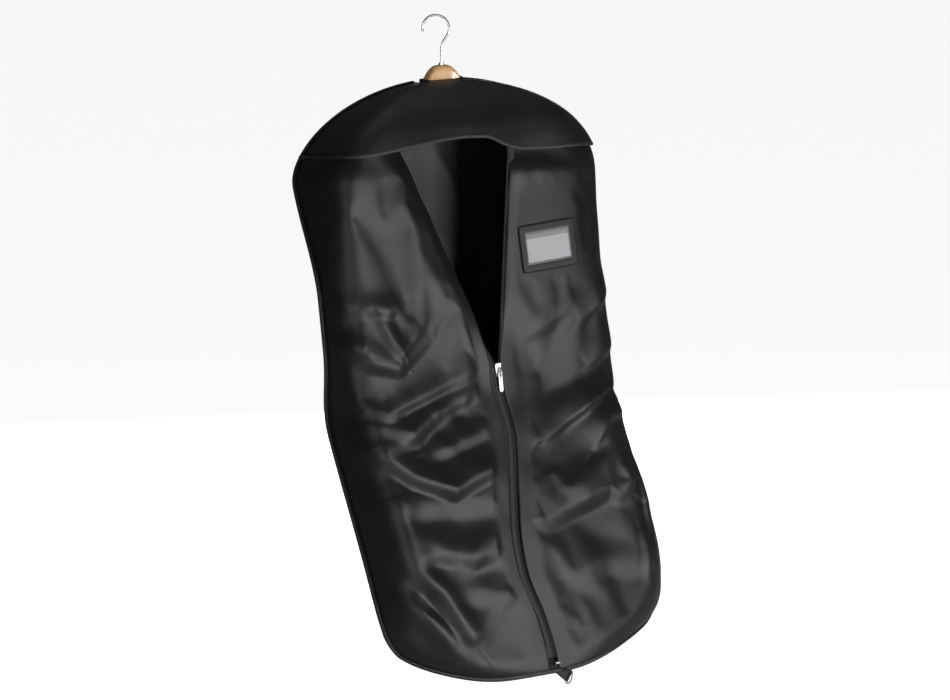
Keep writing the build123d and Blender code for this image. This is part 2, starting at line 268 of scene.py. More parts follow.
def sweep(name, path, profile, up, closed_path=False):
    """A bar with that profile, (sideways, outwards) pairs, along a path; up gives the outward direction."""
    path = np.asarray(path, float)
    ahead = np.gradient(path, axis=0)
    if closed_path:
        ahead = np.roll(path, -1, 0) - np.roll(path, 1, 0)
    ahead /= np.linalg.norm(ahead, axis=1, keepdims=True)
    up = up - (up * ahead).sum(1, keepdims=True) * ahead
    up = up / np.linalg.norm(up, axis=1, keepdims=True)
    side = np.cross(ahead, up)
    profile = np.asarray(profile, float)
    points = path[:, None] + side[:, None] * profile[None, :, 0:1] + up[:, None] * profile[None, :, 1:2]
    count, around = len(path), len(profile)
    faces = grid_faces(count, around, flip=True, closed=True)
    if closed_path:
        last = (count - 1) * around
        faces += [(j, last + j, last + (j + 1) % around, (j + 1) % around)[::-1] for j in range(around)]
    else:
        faces += [tuple(range(around)), tuple(range((count - 1) * around, count * around))[::-1]]
    length = passed(path)
    uv = [(j / around * 0.03, length[i]) for i in range(count) for j in range(around)]
    obj = make_object(name, points.reshape(-1, 3), faces, uv)
    return tidy_normals(obj)


def tidy_normals(obj):
    bm = bmesh.new()
    bm.from_mesh(obj.data)
    bmesh.ops.recalc_face_normals(bm, faces=bm.faces)
    bm.to_mesh(obj.data)
    bm.free()
    return obj


def round_profile(radius_side, radius_up, count, flat=2.0):
    """Ring of points; flat above 2 squares it off."""
    ring = []
    for a in np.linspace(0, 2 * math.pi, count, endpoint=False):
        c, q = math.cos(a), math.sin(a)
        ring.append((radius_side * math.copysign(abs(c) ** (2 / flat), c),
                     radius_up * math.copysign(abs(q) ** (2 / flat), q)))
    return ring


# ---- materials ----
class Nodes:
    """A material's node tree, with short calls to add and link nodes."""

    def __init__(self, name):
        self.material = bpy.data.materials.new(name)
        self.material.use_nodes = True
        self.tree = self.material.node_tree
        self.shader = self.tree.nodes["Principled BSDF"]

    def add(self, kind, links=None, **values):
        node = self.tree.nodes.new(kind)
        for key, value in values.items():
            if hasattr(node, key):
                setattr(node, key, value)
            else:
                node.inputs[key.replace("_", " ")].default_value = value
        for key, source in (links or {}).items():
            self.tree.links.new(source, node.inputs[key])
        return node

    def coords(self, kind):
        return self.add("ShaderNodeTexCoord").outputs[kind]

    def stretched(self, where, scale):
        node = self.add("ShaderNodeMapping", {"Vector": where})
        node.inputs["Scale"].default_value = scale
        return node.outputs["Vector"]

    def noise(self, where, scale, detail, **values):
        node = self.add("ShaderNodeTexNoise", {"Vector": where}, Scale=scale, Detail=detail, **values)
        return node.outputs["Fac"]

    def times(self, base, other, share):
        """One colour multiplied by another, as far as share says."""
        mixed = self.add("ShaderNodeMix", data_type="RGBA", blend_type="MULTIPLY")
        mixed.inputs[0].default_value = share
        self.tree.links.new(base, mixed.inputs[6])
        self.tree.links.new(other, mixed.inputs[7])
        return mixed.outputs[2]

    def set(self, **values):
        for key, value in values.items():
            self.shader.inputs[key.replace("_", " ")].default_value = value

    def link(self, source, key):
        self.tree.links.new(source, self.shader.inputs[key])

    def maths(self, operation, a, b):
        node = self.tree.nodes.new("ShaderNodeMath")
        node.operation = operation
        for socket, value in zip(node.inputs, (a, b)):
            if isinstance(value, (int, float)):
                socket.default_value = value
            else:
                self.tree.links.new(value, socket)
        return node.outputs[0]

    def ramp(self, source, low, high, start=0.3, end=0.7):
        node = self.add("ShaderNodeValToRGB", {"Fac": source})
        node.color_ramp.elements[0].position = start
        node.color_ramp.elements[1].position = end
        node.color_ramp.elements[0].color = (*low, 1)
        node.color_ramp.elements[1].color = (*high, 1)
        return node.outputs["Color"]

    def bump(self, height, strength, distance, **links):
        links["Height"] = height
        return self.add("ShaderNodeBump", links, Strength=strength, Distance=distance).outputs["Normal"]


def cloth_material(name, colour, roughness, thread=0.0009, weave=0.35, sheen=0.15):
    """Woven cloth: crossing threads in the cloth's own coordinates, slubs, and a little uneven dye."""
    m = Nodes(name)
    uv = m.coords("UV")
    split = m.add("ShaderNodeSeparateXYZ", {"Vector": uv})
    turns = 2 * math.pi / thread
    across = m.maths("SINE", m.maths("MULTIPLY", split.outputs["X"], turns), 0)
    along = m.maths("SINE", m.maths("MULTIPLY", split.outputs["Y"], turns), 0)
    threads = m.maths("MULTIPLY", across, along)
    where = m.coords("Object")
    slub = m.noise(uv, 420.0, 3.0, Roughness=0.6)
    dye = m.noise(where, 7.0, 4.0, Roughness=0.6)
    pucker = m.noise(where, 38.0, 3.0, Roughness=0.55)
    base = m.ramp(dye, tuple(c * 0.85 for c in colour), tuple(c * 1.25 for c in colour), 0.25, 0.8)
    m.link(m.times(base, m.ramp(slub, (0.72, 0.72, 0.72), (1, 1, 1)), 0.5), "Base Color")
    m.link(m.maths("ADD", m.maths("MULTIPLY", slub, 0.16), roughness - 0.08), "Roughness")
    m.set(Sheen_Weight=sheen, Sheen_Roughness=0.45, Specular_IOR_Level=0.45)
    height = m.maths("ADD", threads, m.maths("MULTIPLY", slub, 1.4))
    m.link(m.bump(pucker, 0.22, 0.0016, Normal=m.bump(height, weave, 0.00012)), "Normal")
    return m.material


def metal_material(name, colour, roughness, scratches=0.35):
    """Metal with fine upright scratches and a cloudy polish."""
    m = Nodes(name)
    where = m.coords("Object")
    lines = m.noise(m.stretched(where, (900, 900, 60)), 1.0, 2.0)
    cloud = m.noise(where, 160.0, 3.0)
    m.link(m.ramp(cloud, tuple(c * 0.86 for c in colour), colour, 0.3, 0.65), "Base Color")
    m.set(Metallic=1.0)
    m.link(m.maths("ADD", m.maths("MULTIPLY", cloud, 0.12), roughness - 0.05), "Roughness")
    m.link(m.bump(lines, scratches * 0.3, 0.00001), "Normal")
    return m.material


def wood_material(name):
    """Lacquered beech: long grain along the arms, short dark flecks, and a clear coat."""
    m = Nodes(name)
    where = m.coords("Object")
    grain = m.noise(m.stretched(where, (4, 60, 60)), 1.0, 5.0, Roughness=0.6, Distortion=0.6)
    flecks = m.noise(m.stretched(where, (130, 900, 900)), 1.0, 2.0)
    base = m.ramp(grain, (0.64, 0.35, 0.140), (0.86, 0.54, 0.260), 0.3, 0.7)
    m.link(m.times(base, m.ramp(flecks, (0.55, 0.45, 0.36), (1, 1, 1), 0.28, 0.42), 0.6), "Base Color")
    m.set(Roughness=0.38, Coat_Weight=0.7, Coat_Roughness=0.12)
    m.link(m.bump(m.maths("ADD", grain, flecks), 0.15, 0.0003), "Normal")
    return m.material


def plastic_material(name, colour, roughness):
    m = Nodes(name)
    where = m.coords("Object")
    pore = m.noise(where, 900.0, 2.0)
    wide = m.noise(where, 30.0, 3.0)
    m.link(m.ramp(wide, tuple(c * 0.8 for c in colour), tuple(c * 1.2 for c in colour)), "Base Color")
    m.link(m.maths("ADD", m.maths("MULTIPLY", wide, 0.14), roughness - 0.07), "Roughness")
    m.link(m.bump(pore, 0.2, 0.00008), "Normal")
    return m.material


def film_material(name):
    """Clear soft film, slightly rippled and hazy."""
    m = Nodes(name)
    where = m.coords("Object")
    waves = m.noise(where, 55.0, 3.0, Distortion=0.8)
    haze = m.noise(where, 240.0, 3.0)
    m.set(Base_Color=(0.42, 0.43, 0.45, 1), Alpha=0.20, IOR=1.45, Specular_IOR_Level=0.6)
    m.link(m.maths("ADD", m.maths("MULTIPLY", haze, 0.16), 0.08), "Roughness")
    m.link(m.bump(waves, 0.6, 0.0012), "Normal")
    return m.material


def card_material(name):
    """Pale card with a plain darker band across its top."""
    m = Nodes(name)
    where = m.coords("Object")
    fibre = m.noise(where, 700.0, 4.0)
    stain = m.noise(where, 22.0, 2.0)
    down = m.add("ShaderNodeSeparateXYZ", {"Vector": m.coords("UV")}).outputs["Y"]
    tone = m.maths("ADD", m.maths("MULTIPLY", m.maths("GREATER_THAN", down, CARD_BAND), 0.7),
                   m.maths("MULTIPLY", stain, 0.3))
    m.link(m.ramp(tone, (0.24, 0.24, 0.245), (0.58, 0.58, 0.59), 0.1, 0.8), "Base Color")
    m.set(Roughness=0.7)
    m.link(m.bump(fibre, 0.25, 0.0001), "Normal")
    return m.material


SATIN = cloth_material("satin_cloth", (0.0048, 0.0048, 0.0052), 0.41, sheen=0.015)
FLAP_CLOTH = cloth_material("flap_cloth", (0.0042, 0.0042, 0.0046), 0.48, sheen=0.015)
BOUND = cloth_material("binding_tape", (0.007, 0.007, 0.0075), 0.42, thread=0.0012, weave=0.6, sheen=0.03)
HEM_TAPE = cloth_material("hem_tape", (0.014, 0.014, 0.015), 0.38, thread=0.0012, weave=0.6, sheen=0.05)
ZIP_TAPE = cloth_material("zip_tape_cloth", (0.01, 0.01, 0.0105), 0.46, thread=0.0011, weave=0.9, sheen=0.03)
# near-black thread for the zip's sewn lines, also used for the cord of painted shade round the card frame
DARK_THREAD_AND_SHADE = cloth_material("dark_thread_and_shade", (0.0015, 0.0015, 0.0015), 0.75, thread=0.0006, weave=0.8, sheen=0)
WEBBING = cloth_material("webbing_weave", (0.005, 0.005, 0.0055), 0.60, thread=0.0024, weave=1.0, sheen=0.05)
THREAD = cloth_material("sewing_thread", (0.020, 0.020, 0.022), 0.50, thread=0.0006, weave=0.8, sheen=0.05)
COIL = plastic_material("coil_plastic", (0.0025, 0.0025, 0.0028), 0.42)
COLLAR = cloth_material("collar_cloth", (0.005, 0.005, 0.0055), 0.50, weave=0.5, sheen=0.02)
CHROME = metal_material("chromed_wire", (0.62, 0.62, 0.63), 0.16)
NICKEL = metal_material("nickel_zip", (0.42, 0.417, 0.405), 0.38, 0.6)
WOOD = wood_material("lacquered_beech")
FILM = film_material("clear_film")
CARD = card_material("card_stock")


# ---- creases ----
# in millimetres: a line of (x, s) points along a fold's crest, its steep and gentle widths, and its height
CREASES = [
    ([(-300, 585), (-215, 665), (-150, 694), (-40, 660)], 8, 30, 13.5),
    ([(-268, 700), (-180, 706), (-52, 720)], 12, 20, 7),
    ([(-262, 690), (-262, 760), (-272, 800)], 10, 22, 7),
    ([(-262, 792), (-200, 790), (-140, 806), (-64, 800)], 9, 26, 8.5),
    ([(-262, 800), (-215, 860), (-165, 945)], 8, 20, 14),
    ([(-285, 850), (-240, 905), (-205, 950)], 7, 12, 7),
    ([(-200, 850), (-130, 862), (-70, 880)], 10, 16, 4.5),
    ([(-292, 395), (-250, 440), (-205, 455), (-134, 410)], 8, 24, 8.5),
    ([(-230, 372), (-198, 430), (-150, 396)], 6, 18, 6),
    ([(-262, 350), (-210, 362), (-188, 352)], 6, 14, 4.5),
    ([(-305, 330), (-270, 362)], 5, 12, 5.5),
    ([(-305, 400), (-262, 425)], 6, 12, 6),
    ([(-300, 500), (-235, 548), (-130, 500), (-50, 470)], 9, 26, 8),
    ([(-290, 560), (-200, 590), (-110, 548), (-44, 520)], 9, 24, 7.5),
    ([(-250, 610), (-190, 600), (-150, 575)], 7, 16, 6),
    ([(-175, 630), (-110, 618), (-45, 600)], 7, 18, 5.5),
    ([(-60, 392), (-48, 430), (-30, 452)], 6, 12, 4.5),
    ([(250, 545), (150, 594), (62, 634)], 20, 6, 8.5),
    ([(262, 600), (205, 612), (160, 655)], 18, 6, 8),
    ([(20, 762), (100, 742), (165, 724), (205, 742)], 10, 34, 11),
    ([(196, 742), (214, 722), (212, 690)], 6, 10, 6),
    ([(250, 660), (256, 760), (246, 880)], 6, 10, 7.5),
    ([(272, 680), (278, 780), (262, 880)], 5, 9, 6.5),
    ([(226, 780), (224, 850), (214, 900)], 6, 12, 4.5),
    ([(290, 350), (240, 384), (170, 420)], 16, 7, 5.5),
    ([(300, 452), (240, 470), (180, 500)], 18, 7, 5),
    ([(50, 430), (110, 412), (170, 372)], 8, 20, 4),
    ([(60, 860), (130, 850), (200, 872)], 12, 24, 5),
    ([(178, 196), (212, 226)], 6, 8, -3.5),
]
# how far a crease's steep and gentle sides go, in its widths, and the share of its height that is pressed in
FALL_REACH, RISE_REACH, CREASE_DEPTH = 3.4, 1.4, 1.3


def beside_line(x, s, line):
    """Signed distance to a polyline, positive to the right of its way, and the share of it passed."""
    lengths = np.linalg.norm(np.diff(line, axis=0), axis=1)
    best = np.full(np.shape(x), 9.0)
    along = np.zeros(np.shape(x))
    for i, (a, b) in enumerate(zip(line, line[1:])):
        ab = b - a
        t = np.clip(((x - a[0]) * ab[0] + (s - a[1]) * ab[1]) / (ab @ ab), 0, 1)
        d = np.hypot(x - a[0] - t * ab[0], s - a[1] - t * ab[1])
        turned = np.sign(ab[0] * (s - a[1]) - ab[1] * (x - a[0]))
        near = d < np.abs(best)
        best = np.where(near, d * np.where(turned == 0, 1, turned), best)
        along = np.where(near, (lengths[:i].sum() + t * lengths[i]) / lengths.sum(), along)
    return best, along


def crease_n(x, s):
    """Height of the folds: each is steep on one side of its crest and gentle on the other."""
    total = np.zeros(np.shape(x))
    for line, steep, gentle, height in CREASES:
        d, along = beside_line(x, s, np.array(line) / 1000)
        taper = np.sin(np.pi * np.clip(0.06 + along * 0.88, 0, 1)) ** 0.7
        fall = 0.5 + 0.5 * np.cos(np.pi * np.clip(d / (FALL_REACH * steep / 1000), 0, 1))
        rise = np.exp(-np.abs(d / (RISE_REACH * gentle / 1000)) ** 1.8)
        total += CREASE_DEPTH * height / 1000 * taper * np.where(d > 0, fall, rise)
    return total


def ripple(x, s, scale, seed):
    """Soft seeded unevenness."""
    return np.array([noise(Vector((a * scale, b * scale * 0.7, seed))) for a, b in
                     zip(np.ravel(x), np.ravel(s))]).reshape(np.shape(x))


def quiet(x, s):
    """Fades creases out at the seams, and where the card lies and slides."""
    side = smooth((half_width(s) - np.abs(x)) / 0.018) * smooth((s - hem_s(x)) / 0.04)
    low = smooth((bottom_s(x) - s) / 0.03)
    window = 1 - np.exp(-(((x - WINDOW_X) / 0.082) ** 8 + ((s - CARD_WAY_S) / 0.090) ** 8))
    return side * low * window


# ---- cloth simulation ----
GROWTH = 0.012  # the cloth's spare length, as a share


def settle(obj, pins, spare, frames, pressure=0.0):
    """Lets cloth a little too large for its seams buckle between them; spare says how much, 0 to 1."""
    for name, weights in (("pins", pins), ("spare", spare)):
        group = obj.vertex_groups.new(name=name)
        for index, weight in enumerate(weights):
            if weight > 0:
                group.add([index], float(weight), "REPLACE")
    modifier = obj.modifiers.new("cloth", "CLOTH")
    cloth = modifier.settings
    cloth.quality = 6
    cloth.mass = 0.12
    cloth.tension_stiffness = cloth.compression_stiffness = 18
    cloth.shear_stiffness = 6
    cloth.bending_stiffness = 4
    cloth.air_damping = 3
    cloth.tension_damping = cloth.compression_damping = 8
    cloth.vertex_group_mass = "pins"
    cloth.effector_weights.gravity = 0.02
    cloth.vertex_group_shrink = "spare"
    cloth.shrink_min, cloth.shrink_max = -0.15 * GROWTH, -GROWTH
    if pressure:
        cloth.use_pressure = True
        cloth.uniform_pressure_force = pressure
    modifier.point_cache.frame_start = 1
    modifier.point_cache.frame_end = frames
    scene = bpy.context.scene
    scene.frame_end = frames
    for f in range(1, frames + 1):
        scene.frame_set(f)
    apply_all(obj)
    obj.vertex_groups.clear()
    scene.frame_set(1)


# ---- front panels ----
def edge_x(side, s):
    """Inner edge of a front panel: along the open zip above the slider, beside the zip line below it."""
    angle, gap, closed, flat, fade = ((LEFT_OPEN, 0.0085, CLOSED_LEFT, 0.035, 0.12) if side < 0 else
                                      (RIGHT_OPEN, 0.0135, CLOSED_RIGHT, 0.060, 0.08))
    up = SLIDER_S - s
    lift = np.where(up > flat, up - flat / 2, np.clip(up, 0, None) ** 2 / (2 * flat))
    gap = closed + (gap - closed) * smooth(up / fade)
    return side * (lift * math.tan(angle) + gap) + np.where(s > SLIDER_S, zip_x(s), 0)


HEM_COVER = 0.012  # how far the front panels go up under the flap


def front_panel(side, name):
    """One side of the front as a single cloth from the shoulder flap to the bottom seam."""
    columns, upper, lower = 48, 64, 88
    u = np.linspace(1, 0, columns)
    guess = side * SEAM_X * u
    top = hem_s(guess) - HEM_COVER
    below = np.linspace(0, 1, lower)[:, None]
    s = np.concatenate([top + (SLIDER_S - top) * np.linspace(0, 1, upper, endpoint=False)[:, None],
                        SLIDER_S + (bottom_s(guess) - SLIDER_S) * below])
    inner = edge_x(side, s)
    x = inner + (side * (half_width(s) - 0.001) - inner) * u[None, :]
    s[upper:] = SLIDER_S + (bottom_s(x[upper:]) - SLIDER_S) * below
    from_edge = np.abs(x - edge_x(side, s))
    open_part = smooth((SLIDER_S - s) / 0.20)
    # lower under the flap's hem, and towards the open edge
    n = front_n(x, s)
    n = n - 0.008 * (1 - smooth((s - hem_s(x)) / 0.045)) * smooth((half_width(s) - np.abs(x)) / 0.05)
    depth, reach, roll = (0.019, 0.060, 0.0058) if side < 0 else (0.004, 0.020, 0.0012)
    n = n - depth * open_part * np.clip(1 - from_edge / reach, 0, 1) ** 2
    n = n + (0.009 * ripple(x, s, 6.0, 3.0 + side) + 0.003 * ripple(x, s, 17.0, 8.0 + side)) * quiet(x, s)
    # the inner edge rolls under
    radius = 0.0016 + roll * open_part[:, -1:]
    turn = np.linspace(0, math.pi, 7)[None, 1:]
    curl_x = x[:, -1:] - side * radius * np.sin(turn)
    curl_n = n[:, -1:] - radius * (1 - np.cos(turn))
    tail = (0.004 + 0.020 * open_part[:, -1:]) * np.array([[0.5, 1.0]])
    tail_x = x[:, -1:] + side * tail
    tail_n = np.repeat(curl_n[:, -1:], 2, 1) - 0.0008
    x, n = np.hstack([x, curl_x, tail_x]), np.hstack([n, curl_n, tail_n])
    s = np.hstack([s, np.repeat(s[:, -1:], 8, 1)])
    obj = make_object(name, place(x, s, n).reshape(-1, 3), grid_faces(*x.shape, flip=side > 0),
                      np.stack([x, s], -1).reshape(-1, 2))
    # held at the seams, the inner edge and where the card slides
    pins = np.zeros(x.shape)
    pins[:, 0] = pins[:, 1] = pins[0] = pins[1] = pins[-1] = pins[-2] = 1
    pins[:, columns - 5:] = 1
    pins[:, 2] = pins[2] = pins[-3] = 0.5
    pins = np.maximum(pins, np.exp(-(((x - WINDOW_X) / 0.072) ** 6 + ((s - CARD_WAY_S) / 0.080) ** 6)) > 0.4)
    settle(obj, pins.ravel(), smooth((s - 0.28) / 0.20).ravel(), 22, pressure=0.35)
    refine(obj)
    fold_cloth(obj, side)
    thicken(obj, CLOTH)
    return obj


def fold_cloth(obj, side):
    """Presses the creases into a front panel."""
    x, s = flat_map(obj.data)
    inward = smooth((side * (x - edge_x(side, s)) - 0.018) / 0.020)
    raise_cloth(obj.data, s, crease_n(x, s) * quiet(x, s) * inward)


def flat_map(mesh):
    """Each vertex's (x, s), from the cloth's map."""
    x, s = np.zeros(len(mesh.vertices)), np.zeros(len(mesh.vertices))
    for loop, flat in zip(mesh.loops, mesh.uv_layers.active.data):
        x[loop.vertex_index], s[loop.vertex_index] = flat.uv
    return x, s


def raise_cloth(mesh, s, height):
    """Moves a mesh's vertices out of the front by height."""
    points = np.array([v.co for v in mesh.vertices], float)
    points += outward(s) * height[:, None]
    mesh.vertices.foreach_set("co", points.ravel())
    mesh.update()


UNDERLAP, UNDERLAP_DROP = 0.022, 0.0022  # of a lower panel under its upper one


def split_at(obj, level, names):
    """Cuts a cloth in two across its (x, s) map at that s; both halves keep the whole one's shading.
    The lower one reaches a little up under the upper one, to fill the gap as the zip is closed."""
    mesh = obj.data
    normals = mesh.attributes.new("whole_normal", "FLOAT_VECTOR", "POINT")
    values = np.array([v.normal for v in mesh.vertices], np.float32)
    normals.data.foreach_set("vector", values.ravel())
    halves = []
    for name, keep_low in zip(names, (False, True)):
        piece = bpy.data.objects.new(name, mesh.copy())
        bpy.context.collection.objects.link(piece)
        bm = bmesh.new()
        bm.from_mesh(piece.data)
        layer = bm.loops.layers.uv.active
        drop = []
        for face in bm.faces:
            middle = sum(loop[layer].uv.y for loop in face.loops) / len(face.loops)
            if (middle > level - (UNDERLAP if keep_low else 0)) != keep_low:
                drop.append(face)
        bmesh.ops.delete(bm, geom=drop, context="FACES")
        bm.to_mesh(piece.data)
        bm.free()
        if keep_low:
            _, s = flat_map(piece.data)
            raise_cloth(piece.data, s, -UNDERLAP_DROP * smooth((level - s) / 0.006))
        kept = np.zeros(len(piece.data.vertices) * 3, np.float32)
        piece.data.attributes["whole_normal"].data.foreach_get("vector", kept)
        piece.data.normals_split_custom_set_from_vertices(kept.reshape(-1, 3).tolist())
        piece.data.attributes.remove(piece.data.attributes["whole_normal"])
        halves.append(piece)
    bpy.data.objects.remove(obj)
    return halves


def bend_at_fold(obj):
    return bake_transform(obj)


for side, name, angle, reach in ((-1, "left", LEFT_OPEN, 0.075), (1, "right", RIGHT_OPEN, 0.110)):
    front_upper, front_lower = split_at(front_panel(side, f"{name}_front_whole"), SLIDER_S,
                                        (f"{name}_front_upper", f"{name}_front_lower"))
    paint(front_upper, SATIN)
    paint(front_lower, SATIN)
    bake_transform(front_upper)
    bend_at_fold(front_lower)
    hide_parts(f"upper_{name}_panel")
    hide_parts(f"lower_{name}_panel")


# ---- back panel and shoulder flap ----
def shell_grid(name, height, top, bottom, rows, columns, material):
    """A cloth over the whole width, from s = top down to a line across the bag, given as a function of x."""
    u = np.linspace(-1, 1, columns)
    s = top + (bottom(SEAM_X * u) - top) * np.linspace(0, 1, rows)[:, None]
    x = u * half_width(s)
    n = height(x, s)
    uv = np.stack([x, s], -1).reshape(-1, 2)
    obj = make_object(name, place(x, s, n).reshape(-1, 3), grid_faces(rows, columns), uv)
    return paint(obj, material), x, s


def back_height(x, s):
    folds = 0.004 * ripple(x, s, 11.0, 9.0) + 0.0035 * np.sin(x * 46 + 3 * s) * smooth((s - 0.2) / 0.4)
    sag = 0.006 * np.exp(-((s - FOLD_S) / 0.03) ** 2) * (1 - (np.abs(x) / 0.3) ** 4)
    edge = (smooth((half_width(s) - np.abs(x)) / 0.02) * smooth((s - 0.004) / 0.02)
            * smooth((bottom_s(x) - s) / 0.03))
    return back_n(x, s) + (sag - np.abs(folds)) * edge


back, back_x, back_s = shell_grid("back_panel", back_height, 0.004, bottom_s, 130, 73, SATIN)
back_pins = np.zeros(back_x.shape)
back_pins[:, :2] = back_pins[:, -2:] = back_pins[:2] = back_pins[-2:] = 1
settle(back, back_pins.ravel(), smooth((back_s - 0.2) / 0.3).ravel(), 16)
refine(back)
thicken(back, CLOTH, 1.0)
bend_at_fold(back)
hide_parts("back_panel_upper", "back_panel_lower")


def flap_height(x, s):
    dent = 0.0030 * ripple(x, s, 12.0, 5.0) + 0.0022 * np.sin(x * 42 + 0.9) * smooth((s - 0.02) / 0.08)
    edge = smooth((half_width(s) - np.abs(x)) / 0.02)
    return flap_n(x, s) + dent * edge


flap, _, _ = shell_grid("shoulder_flap_cloth", flap_height, 0.002, hem_s, 40, 97, FLAP_CLOTH)
refine(flap)
thicken(flap, CLOTH)
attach(flap, "bag")
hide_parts("shoulder_flap")

hem_x = np.linspace(-0.286, 0.286, 120)
hem_path = place(hem_x, hem_s(hem_x) + 0.001, flap_height(hem_x, hem_s(hem_x)) + 0.0005)
hem_up = place(hem_x, hem_s(hem_x), 1.0) - place(hem_x, hem_s(hem_x), 0.0)
hem = sweep("flap_hem_tape", hem_path, round_profile(0.0030, 0.0014, 12, 3), up=hem_up)
paint(hem, HEM_TAPE)
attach(hem, "bag")
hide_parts("flap_hem_binding")


# ---- bound edge ----
def outline(side):
    """The seam line from the neck down one side to the middle of the bottom."""
    s = np.concatenate([SHOULDER_S * np.linspace(0.02, 1, 60) ** 1.8, np.linspace(0.155, CORNER_S, 100)[:-1]])
    corner_x = side * 0.292 * np.cos(np.linspace(0, math.pi / 2, 60)) ** 0.75
    return (np.concatenate([side * half_width(s), corner_x]), np.concatenate([s, bottom_s(corner_x)]),
            np.concatenate([np.zeros(len(s)), seam_n(corner_x)]))


def outline_binding(side, name):
    x, s, n = outline(side)
    obj = sweep(name, place(x, s, n), round_profile(0.0046, 0.0034, 14, 2.6), up=outward(s))
    refine(obj)
    paint(obj, BOUND)
    return bend_at_fold(obj)


binding_left = outline_binding(-1, "edge_binding_left")
binding_right = outline_binding(1, "edge_binding_right")
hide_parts("upper_binding_left", "lower_binding_left")
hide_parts("upper_binding_right", "lower_binding_right", "bottom_binding")


# ---- zip ----
COIL_PITCH, TAPE_WIDTH = 0.0024, 0.014  # tooth to tooth, and the tape's width in its own map
OUT_UP = place(0, 0.3, 1.0) - place(0, 0.3, 0.0)


def tube_faces(base, rings):
    """The faces of a closed tube of six-sided rings, from the vertex number base on."""
    faces = [(base + j * 6 + k, base + j * 6 + (k + 1) % 6, base + (j + 1) * 6 + (k + 1) % 6,
              base + (j + 1) * 6 + k) for j in range(rings - 1) for k in range(6)]
    end = base + (rings - 1) * 6
    return faces + [tuple(base + k for k in range(5, -1, -1)), tuple(end + k for k in range(6))]


def coil(name, path, both):
    """Interlocked coil teeth: short rounded bars across the chain, on one side or on both."""
    lengths = passed(path)
    at = np.arange(COIL_PITCH, lengths[-1], COIL_PITCH)
    centre = np.stack([np.interp(at, lengths, path[:, k]) for k in range(3)], -1)
    ahead = np.gradient(centre, axis=0)
    ahead /= np.linalg.norm(ahead, axis=1, keepdims=True)
    up = OUT_UP / np.linalg.norm(OUT_UP)
    side = np.cross(ahead, up)
    ring = round_profile(0.00085, 0.00085, 6)
    verts, faces = [], []
    for i, (c, a, q) in enumerate(zip(centre, ahead, side)):
        shift = 0.0012 * (1 if i % 2 else -1) if both else 0
        for end in (-1, -0.6, 0.6, 1):
            radius = 0.55 if abs(end) == 1 else 1.0
            for p, h in ring:
                verts.append(c + q * (end * 0.0028 + shift) + a * p * radius + up * (h * radius * 1.2))
        faces += tube_faces(i * 24, 4)
    obj = make_object(name, verts, faces)
    tidy_normals(obj)
    return paint(obj, COIL)


def tape(name, path_in, path_out):
    """A flat strip of zip tape between two edges, with a raised rib along each."""
    across = np.linspace(0, 1, 9)
    rib = 0.0003 * np.exp(-((across - 0.12) / 0.08) ** 2) + 0.0003 * np.exp(-((across - 0.88) / 0.08) ** 2)
    points = path_in[:, None] + (path_out - path_in)[:, None] * across[None, :, None]
    points = points + OUT_UP[None, None, :] * rib[None, :, None]
    uv = [(t * TAPE_WIDTH, d) for d in passed(path_in) for t in across]
    obj = make_object(name, points.reshape(-1, 3), grid_faces(len(path_in), 9), uv)
    facing = sum((p.normal for p in obj.data.polygons), Vector()).dot(Vector(OUT_UP))
    if facing < 0:
        obj.data.flip_normals()
    thicken(obj, 0.0008)
    return paint(obj, ZIP_TAPE)


def open_edge(side, angle, body, name, drop):
    """The free edge of the open zip, lying in the plane that it turns in."""
    reach = np.linspace(0.004, 0.378, 90)
    x0, s0 = side * reach * math.sin(angle), SLIDER_S - reach * math.cos(angle)
    n = DEPTH - ZIP_DEPTH - drop * np.abs(x0) - (0.021 * smooth(reach / 0.12) if side < 0 else 0)
    inner = place(x0 + side * 0.0010 * math.cos(angle), s0, n)
    wide = 0.016 + 0.008 * (1 - smooth((reach - 0.06) / 0.08))
    outer = place(x0 + side * wide * math.cos(angle), s0 + wide * math.sin(angle), n - 0.0006 - drop * wide)
    strip = tape(f"{name}_tape_cloth", inner, outer)
    teeth_path = place(x0 + side * 0.0016, s0, n + 0.0006)
    teeth = coil(f"{name}_teeth", teeth_path[:-4], False)
    for obj in (strip, teeth):
        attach(obj, body)
    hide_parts(f"{name}_zip_tape")
    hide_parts(f"{name}_zip_coil")
    sideways = np.array([side * math.cos(angle), 0, -math.sin(angle)])
    across = np.linspace(-0.0018, 0.0034, 5)[:, None] * sideways
    stop = sweep(f"{name}_stop", teeth_path[-1] + across, round_profile(0.0022, 0.0017, 12, 3.2), up=OUT_UP)
    refine(stop)
    paint(stop, NICKEL)
    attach(stop, body)
    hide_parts(f"{name}_top_stop")


open_edge(-1, LEFT_OPEN, "left_edge", "left", 0.06)
open_edge(1, RIGHT_OPEN, "right_edge", "right", 0.0)

# the closed zip from the slider down to the bottom seam
chain_s = np.linspace(SLIDER_S - 0.006, LENGTH - 0.022, 220)
chain_x = zip_x(chain_s)
chain_n = front_n(chain_x, chain_s) - 0.0016
chain = coil("closed_zip_teeth", place(chain_x, chain_s, chain_n + 0.0004), True)
bend_at_fold(chain)
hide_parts("middle_zip_coil", "lower_zip_coil")
tape_left, tape_right = chain_x - CLOSED_LEFT - 0.003, chain_x + 0.0125
chain_tape = tape("closed_zip_tape", place(tape_left, chain_s, front_n(tape_left, chain_s) - 0.0026),
                  place(tape_right, chain_s, front_n(tape_right, chain_s) - 0.0026))
bend_at_fold(chain_tape)
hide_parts("middle_zip_tape", "lower_zip_tape")


